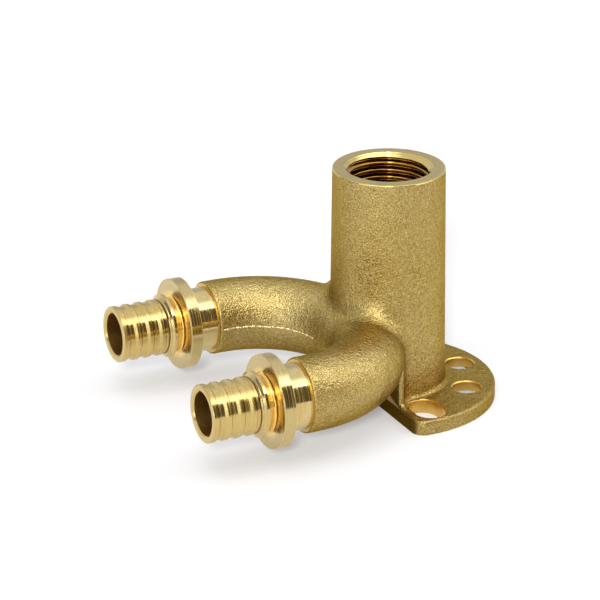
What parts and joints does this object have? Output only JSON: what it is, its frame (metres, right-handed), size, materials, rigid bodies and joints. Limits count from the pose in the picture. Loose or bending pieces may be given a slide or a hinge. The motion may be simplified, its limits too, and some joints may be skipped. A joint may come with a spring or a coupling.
{
  "type": "wall plate elbow",
  "caption": "Cast brass wall plate elbow: a threaded tap socket on a drilled fixing plate, fed by a bowed pipe that ends in flanged, ribbed pipe spigots.",
  "frame": {"origin": "on the axis of the threaded socket, at the wall face of the fixing plate", "axes": "+Z out of the wall along the socket, -X along the pipe spigots, +X towards the round side of the plate"},
  "size_m": [0.0885, 0.0758, 0.059],
  "materials": {
    "brass": "blasted sand casting with bright turned ends"
  },
  "bodies": {
    "root": {"elbow_body": "brass"}
  },
  "joints": []
}
